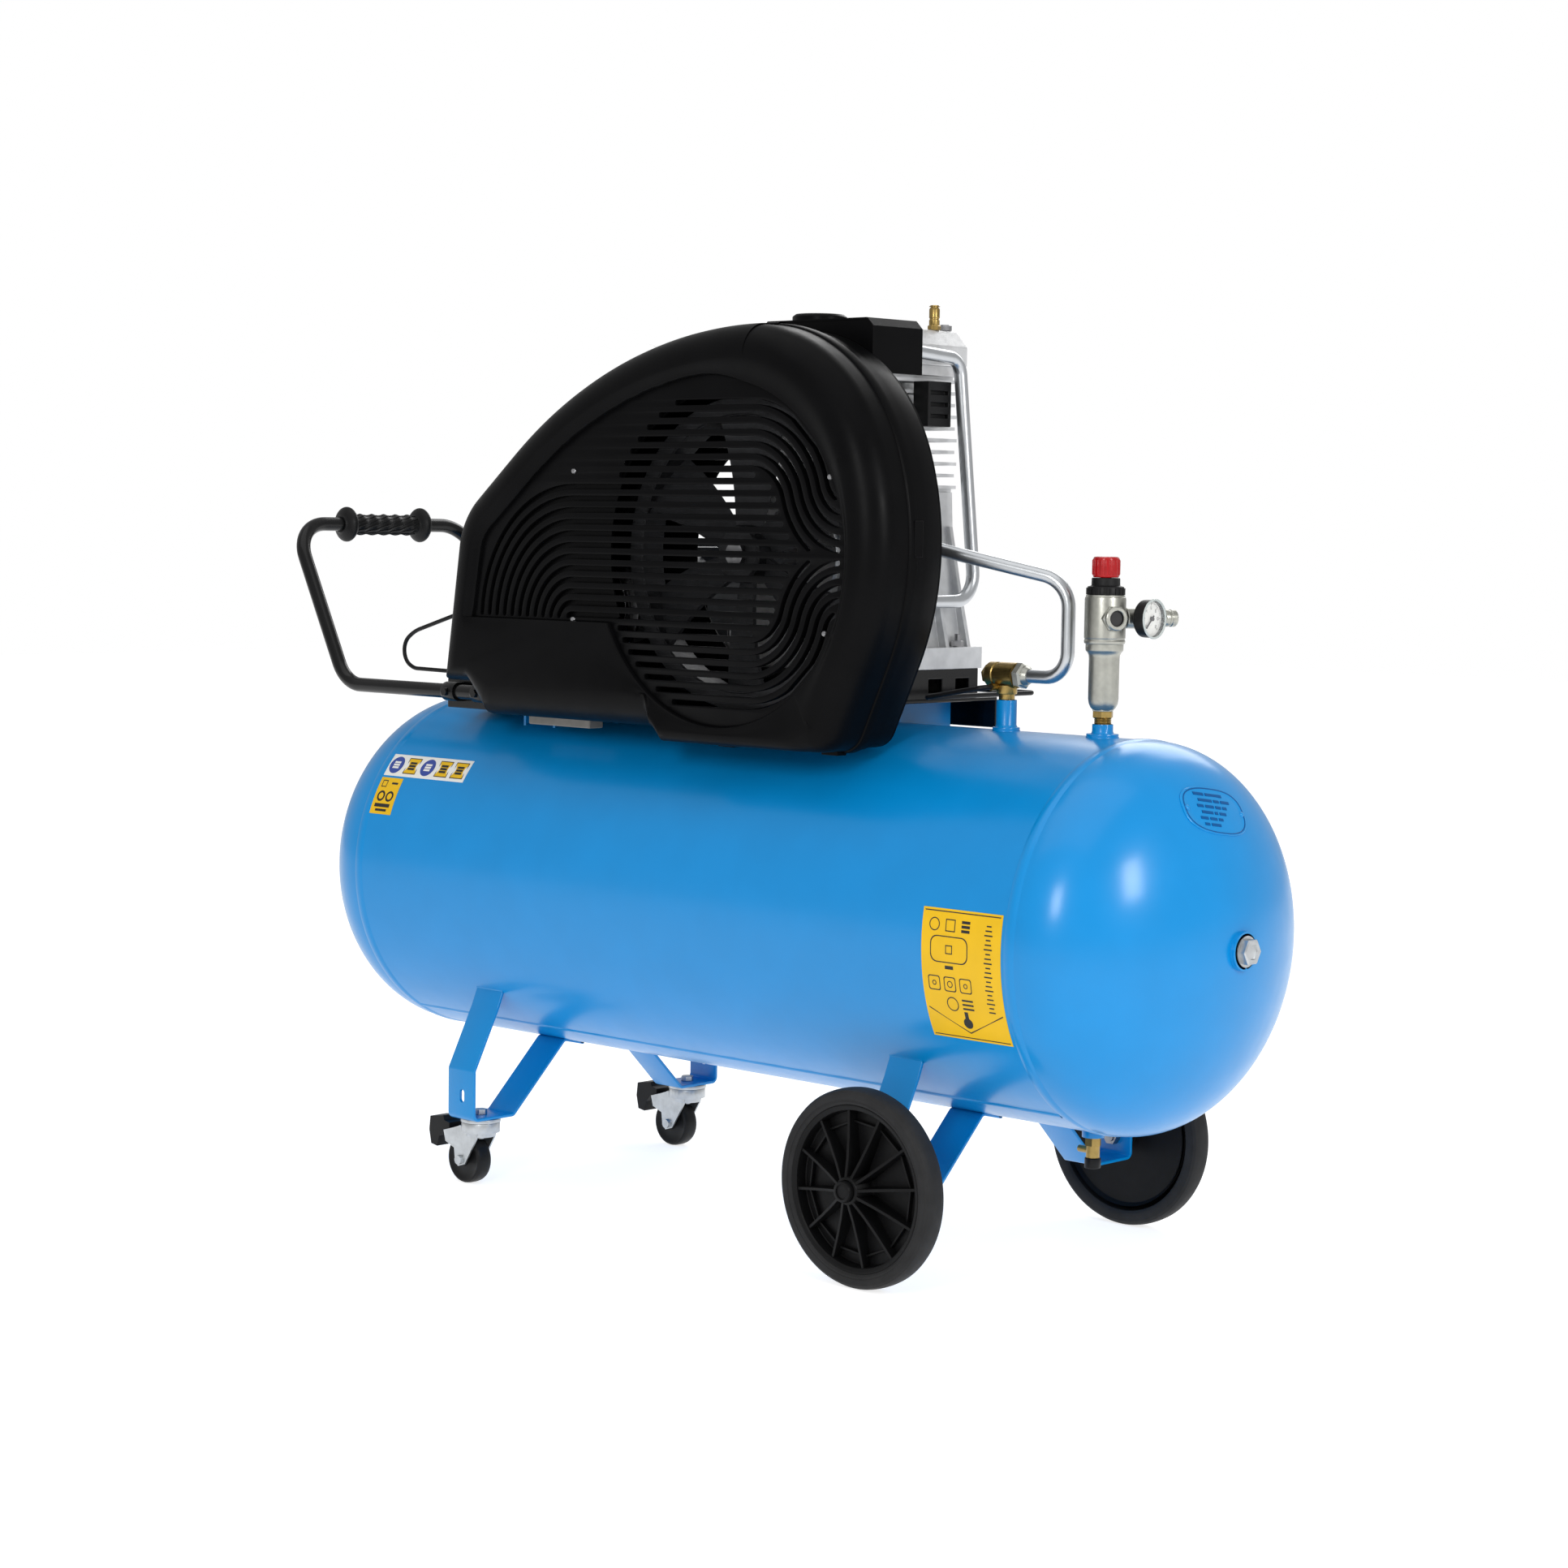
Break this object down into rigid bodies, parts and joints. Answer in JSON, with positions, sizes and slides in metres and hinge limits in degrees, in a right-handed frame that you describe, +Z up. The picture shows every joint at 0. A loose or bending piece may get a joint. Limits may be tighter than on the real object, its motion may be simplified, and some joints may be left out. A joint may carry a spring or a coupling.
{
  "type": "belt-driven air compressor",
  "caption": "Wheeled belt-driven air compressor: horizontal receiver, guarded flywheel drive, piston pump, motor, regulator, pull handle and swivel casters.",
  "frame": {"origin": "on the floor, under the middle of the unit's bounding box", "axes": "+X along the receiver towards the regulator, -Y is the belt guard side, +Z up"},
  "size_m": [1.5234, 0.562, 1.126],
  "materials": {
    "blue_paint": "gloss",
    "black_plastic": "fine grain",
    "black_paint": "satin",
    "zinc": "bright zinc",
    "steel": "machined",
    "cast_alloy": "as cast",
    "tube_alloy": "drawn",
    "nickel": "satin nickel",
    "brass": "turned",
    "cast_iron": "painted dark",
    "tyre_black": "matt",
    "rubber_black": "matt",
    "rubber_grey": "matt",
    "rim_plastic": "moulded",
    "motor_paint": "satin",
    "red_plastic": "moulded",
    "needle_black": "matt",
    "pedal_black": "moulded"
  },
  "bodies": {
    "receiver": {"tank_shell": "blue_paint", "tank_head_left": "blue_paint", "tank_head_right": "blue_paint", "tank_brackets": "blue_paint", "end_plug": "zinc", "data_plate": "blue_paint", "base_plate": "black_paint", "base_pads": "rubber_grey", "pump_stand": "black_paint", "guard_front": "black_plastic", "guard_rear": "black_plastic", "air_shroud": "black_plastic", "handle_tube": "black_paint", "handle_grip": "rubber_black", "handle_clamps": "black_paint", "motor_housing": "motor_paint", "fan_cover": "motor_paint", "terminal_box": "motor_paint", "drive_belt": "rubber_black", "crankcase": "cast_alloy", "cylinder_block": "cast_alloy", "valve_plate": "cast_alloy", "cylinder_head": "cast_alloy", "air_filter": "pedal_black", "pump_bolts": "steel", "head_safety_valve": "brass", "intercooler_tube": "tube_alloy", "discharge_tube": "tube_alloy", "check_valve": "brass", "unloader_pipe": "pedal_black", "pressure_switch": "pedal_black", "motor_cable": "rubber_black", "regulator_nipple": "brass", "regulator_body": "nickel", "regulator_bowl": "nickel", "gauge_case": "pedal_black", "air_outlet": "nickel", "drain_valve": "brass", "legs_caster_end": "blue_paint", "legs_wheel_end": "blue_paint", "wheel_axles": "steel", "caster_plates": "zinc"},
    "crank": {"crankshaft": "steel", "flywheel": "cast_iron"},
    "motor_rotor": {"motor_shaft": "steel", "motor_pulley": "steel"},
    "wheel_front": {"tyre_front": "tyre_black", "rim_front": "rim_plastic"},
    "wheel_rear": {"tyre_rear": "tyre_black", "rim_rear": "rim_plastic"},
    "caster_front": {"caster_fork_front": "zinc"},
    "caster_rear": {"caster_fork_rear": "zinc"},
    "caster_roller_front": {"caster_wheel_front": "rubber_black"},
    "caster_roller_rear": {"caster_wheel_rear": "rubber_black"},
    "pedal_front": {"brake_pedal_front": "pedal_black"},
    "pedal_rear": {"brake_pedal_rear": "pedal_black"},
    "regulator_dial": {"regulator_knob": "red_plastic"},
    "switch_button": {"switch_knob": "red_plastic"},
    "needle": {"gauge_needle": "needle_black"},
    "drain_screw": {"drain_knob": "pedal_black"}
  },
  "joints": [
    {"name": "crank_spin", "type": "hinge", "parent": "receiver", "child": "crank", "pos_m": [0.14175, 0, 0.822], "axis": [0, 1, 0], "continuous": true},
    {"name": "motor_spin", "type": "hinge", "parent": "receiver", "child": "motor_rotor", "pos_m": [-0.11625, 0, 0.752], "axis": [0, 1, 0], "continuous": true},
    {"name": "wheel_spin_front", "type": "hinge", "parent": "receiver", "child": "wheel_front", "pos_m": [0.40975, -0.247, 0.114], "axis": [0, 1, 0], "continuous": true},
    {"name": "caster_swivel_front", "type": "hinge", "parent": "receiver", "child": "caster_front", "pos_m": [-0.30625, -0.188, 0.08], "axis": [0, 0, 1], "continuous": true},
    {"name": "caster_roll_front", "type": "hinge", "parent": "caster_front", "child": "caster_roller_front", "pos_m": [-0.32725, -0.188, 0.0315], "axis": [0, 1, 0], "continuous": true},
    {"name": "brake_press_front", "type": "hinge", "parent": "caster_front", "child": "pedal_front", "pos_m": [-0.35625, -0.188, 0.06], "axis": [0, -1, 0], "range_deg": [0, 14]},
    {"name": "wheel_spin_rear", "type": "hinge", "parent": "receiver", "child": "wheel_rear", "pos_m": [0.40975, 0.247, 0.114], "axis": [0, 1, 0], "continuous": true},
    {"name": "caster_swivel_rear", "type": "hinge", "parent": "receiver", "child": "caster_rear", "pos_m": [-0.30625, 0.188, 0.08], "axis": [0, 0, 1], "continuous": true},
    {"name": "caster_roll_rear", "type": "hinge", "parent": "caster_rear", "child": "caster_roller_rear", "pos_m": [-0.32725, 0.188, 0.0315], "axis": [0, 1, 0], "continuous": true},
    {"name": "brake_press_rear", "type": "hinge", "parent": "caster_rear", "child": "pedal_rear", "pos_m": [-0.35625, 0.188, 0.06], "axis": [0, -1, 0], "range_deg": [0, 14]},
    {"name": "regulator_turn", "type": "hinge", "parent": "receiver", "child": "regulator_dial", "pos_m": [0.54575, 0, 0.815], "axis": [0, 0, 1], "range_deg": [-720, 720]},
    {"name": "switch_turn", "type": "hinge", "parent": "receiver", "child": "switch_button", "pos_m": [0.09375, 0.182, 0.735], "axis": [0, 0, 1], "range_deg": [0, 90]},
    {"name": "needle_turn", "type": "hinge", "parent": "receiver", "child": "needle", "pos_m": [0.55795, 0.02741, 0.757], "axis": [-0.9994, -0.0349, 0], "range_deg": [0, 270], "stiffness_Nm_per_rad": 0.0004},
    {"name": "drain_turn", "type": "hinge", "parent": "receiver", "child": "drain_screw", "pos_m": [0.54575, 0, 0.13], "axis": [0, 0, 1], "range_deg": [0, 720]}
  ],
  "couplings": [
    {"joint": "motor_spin", "follows": "crank_spin", "ratio": 3.1579}
  ]
}
